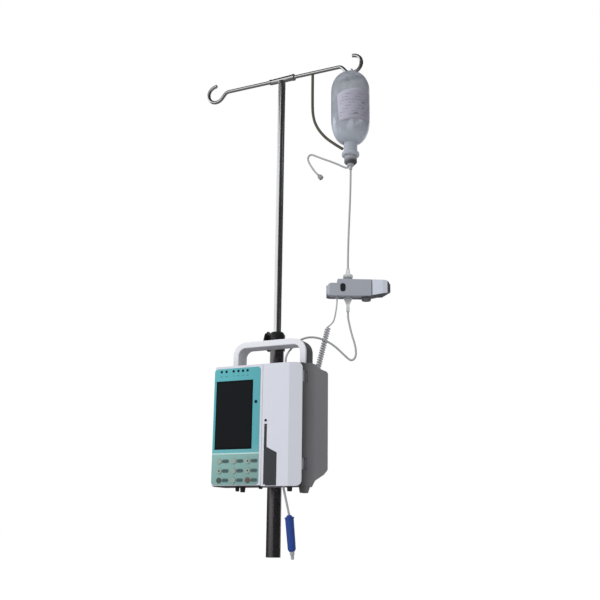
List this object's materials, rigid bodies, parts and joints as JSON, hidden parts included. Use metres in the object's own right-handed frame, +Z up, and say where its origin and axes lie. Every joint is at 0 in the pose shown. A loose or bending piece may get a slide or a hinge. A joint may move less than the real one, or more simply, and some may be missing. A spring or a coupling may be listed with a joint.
{
  "type": "iv pole with infusion pump",
  "caption": "Telescopic drip pole with twin hooks, a hung bottle, drip line and drop sensor, and a pole-clamped infusion pump with door, keys and screen",
  "frame": {"origin": "centre of the pole's lower end", "axes": "+Z up along the pole, -Y towards the front of the pump, +X to the viewer's right"},
  "size_m": [0.4182, 0.2196, 1.023],
  "materials": {
    "chrome": "polished",
    "lower_chrome": "polished, slightly worn",
    "black_plastic": "fine moulded grain",
    "clear_plastic": "translucent moulded",
    "saline": "clear liquid",
    "cap_rubber": "matt rubber and crimp",
    "white_plastic": "satin moulded",
    "line_pvc": "soft clear tube",
    "tether_rubber": "aged rubber",
    "sensor_grey": "fine moulded grain",
    "dark_grey_plastic": "fine moulded grain",
    "case_grey": "spark texture",
    "cyan_film": "printed film",
    "dark_glass": "glossy window",
    "rubber_black": "matt",
    "blue_plastic": "satin moulded",
    "tip_grey": "satin",
    "key_cream": "silicone",
    "key_olive": "silicone",
    "key_red": "silicone",
    "steel": "machined",
    "brass": "machined",
    "board_green": "solder mask",
    "battery_wrap": "shrink film",
    "finger_plastic": "natural",
    "cord_grey": "matt cord",
    "black_metal": "powder coat",
    "cast_alloy": "cast, bead blasted"
  },
  "bodies": {
    "stand": {"lower_tube": "lower_chrome", "collar": "black_plastic", "pump_line": "line_pvc", "pump_segment": "line_pvc", "outlet_line": "line_pvc", "end_sheath": "blue_plastic", "luer_tip": "tip_grey", "sensor_cord": "cord_grey", "sensor_plug": "black_plastic", "rear_shell": "case_grey", "front_shell": "white_plastic", "handle_front": "white_plastic", "handle_rear": "dark_grey_plastic", "overlay": "cyan_film", "lcd_window": "dark_glass", "feet": "rubber_black", "case_screws": "steel", "door_pins": "steel", "chassis": "dark_grey_plastic", "fingers": "finger_plastic", "motor": "dark_grey_plastic", "clamp_body": "black_plastic", "main_board": "board_green", "battery": "battery_wrap", "mains_inlet": "black_plastic"},
    "mast": {"upper_tube": "chrome", "guide_bush": "finger_plastic", "t_fitting": "chrome", "hook_left": "chrome", "hook_right": "chrome", "tether": "tether_rubber", "drip_line": "line_pvc", "drip_chamber": "clear_plastic", "sensor_housing": "sensor_grey", "sensor_pin": "dark_grey_plastic"},
    "knob": {"lock_knob": "black_plastic"},
    "hanging_bottle": {"bottle": "clear_plastic", "saline": "saline", "bottle_cap": "cap_rubber", "spike": "white_plastic", "vent_tube": "line_pvc", "vent_filter": "white_plastic"},
    "sensor_jaw": {"sensor_lever": "dark_grey_plastic"},
    "door": {"door": "white_plastic", "latch_pin": "black_plastic", "platen": "steel"},
    "latch": {"latch_lever": "dark_grey_plastic"},
    "cam": {"camshaft": "steel"},
    "pinion": {"motor_pinion": "brass"},
    "jaw": {"clamp_jaw": "cast_alloy"},
    "screw": {"clamp_screw": "black_metal"},
    "button_1": {"key_1": "key_cream"},
    "button_2": {"key_2": "key_cream"},
    "button_3": {"key_3": "key_cream"},
    "button_4": {"key_4": "key_cream"},
    "button_5": {"key_5": "key_cream"},
    "button_6": {"key_6": "key_cream"},
    "button_7": {"key_7": "key_olive"},
    "button_8": {"key_8": "key_cream"},
    "button_9": {"key_9": "key_red"}
  },
  "joints": [
    {"name": "mast_slide", "type": "slide", "parent": "stand", "child": "mast", "axis": [0, 0, 1], "range_m": [-0.04, 0.1], "deforming": ["pump_line", "sensor_cord"]},
    {"name": "lock_knob_turn", "type": "hinge", "parent": "stand", "child": "knob", "pos_m": [0, 0, 0.417], "axis": [-1, 0, 0], "range_deg": [0, 360]},
    {"name": "bottle_swing", "type": "hinge", "parent": "mast", "child": "hanging_bottle", "pos_m": [0.1645, 0, 0.9849], "axis": [0, 1, 0], "range_deg": [-8, 8], "deforming": ["drip_line", "tether"]},
    {"name": "sensor_squeeze", "type": "hinge", "parent": "mast", "child": "sensor_jaw", "pos_m": [0.18508, 0.01634, 0.509], "axis": [0, 0, -1], "range_deg": [0, 10], "stiffness_Nm_per_rad": 0.4, "springref_deg": -5.73},
    {"name": "door_swing", "type": "hinge", "parent": "stand", "child": "door", "pos_m": [0.114, -0.129, 0.24], "axis": [0, 0, 1], "range_deg": [0, 105]},
    {"name": "latch_turn", "type": "hinge", "parent": "door", "child": "latch", "pos_m": [0.0549, -0.1478, 0.18], "axis": [0, 0, -1], "range_deg": [0, 45], "stiffness_Nm_per_rad": 0.05, "springref_deg": -11.46},
    {"name": "cam_spin", "type": "hinge", "parent": "stand", "child": "cam", "pos_m": [0.085, -0.106, 0.24], "axis": [0, 0, 1], "continuous": true},
    {"name": "pinion_spin", "type": "hinge", "parent": "stand", "child": "pinion", "pos_m": [0.085, -0.0798, 0.293], "axis": [0, 0, 1], "continuous": true},
    {"name": "clamp_turn", "type": "hinge", "parent": "stand", "child": "screw", "pos_m": [0, 0.06, 0.235], "axis": [0, 1, 0], "range_deg": [0, 1440]},
    {"name": "jaw_slide", "type": "slide", "parent": "stand", "child": "jaw", "axis": [0, 1, 0], "range_m": [0, 0.00601]},
    {"name": "button_1_press", "type": "slide", "parent": "stand", "child": "button_1", "axis": [0, 1, 0], "range_m": [0, 0.0008], "stiffness_N_per_m": 400, "springref_m": -0.001},
    {"name": "button_2_press", "type": "slide", "parent": "stand", "child": "button_2", "axis": [0, 1, 0], "range_m": [0, 0.0008], "stiffness_N_per_m": 400, "springref_m": -0.001},
    {"name": "button_3_press", "type": "slide", "parent": "stand", "child": "button_3", "axis": [0, 1, 0], "range_m": [0, 0.0008], "stiffness_N_per_m": 400, "springref_m": -0.001},
    {"name": "button_4_press", "type": "slide", "parent": "stand", "child": "button_4", "axis": [0, 1, 0], "range_m": [0, 0.0008], "stiffness_N_per_m": 400, "springref_m": -0.001},
    {"name": "button_5_press", "type": "slide", "parent": "stand", "child": "button_5", "axis": [0, 1, 0], "range_m": [0, 0.0008], "stiffness_N_per_m": 400, "springref_m": -0.001},
    {"name": "button_6_press", "type": "slide", "parent": "stand", "child": "button_6", "axis": [0, 1, 0], "range_m": [0, 0.0008], "stiffness_N_per_m": 400, "springref_m": -0.001},
    {"name": "button_7_press", "type": "slide", "parent": "stand", "child": "button_7", "axis": [0, 1, 0], "range_m": [0, 0.0008], "stiffness_N_per_m": 400, "springref_m": -0.001},
    {"name": "button_8_press", "type": "slide", "parent": "stand", "child": "button_8", "axis": [0, 1, 0], "range_m": [0, 0.0008], "stiffness_N_per_m": 400, "springref_m": -0.001},
    {"name": "button_9_press", "type": "slide", "parent": "stand", "child": "button_9", "axis": [0, 1, 0], "range_m": [0, 0.0008], "stiffness_N_per_m": 400, "springref_m": -0.001}
  ],
  "couplings": [
    {"joint": "pinion_spin", "follows": "cam_spin", "ratio": -3.3333},
    {"joint": "jaw_slide", "follows": "clamp_turn", "m_per_rad": 0.00023873}
  ]
}
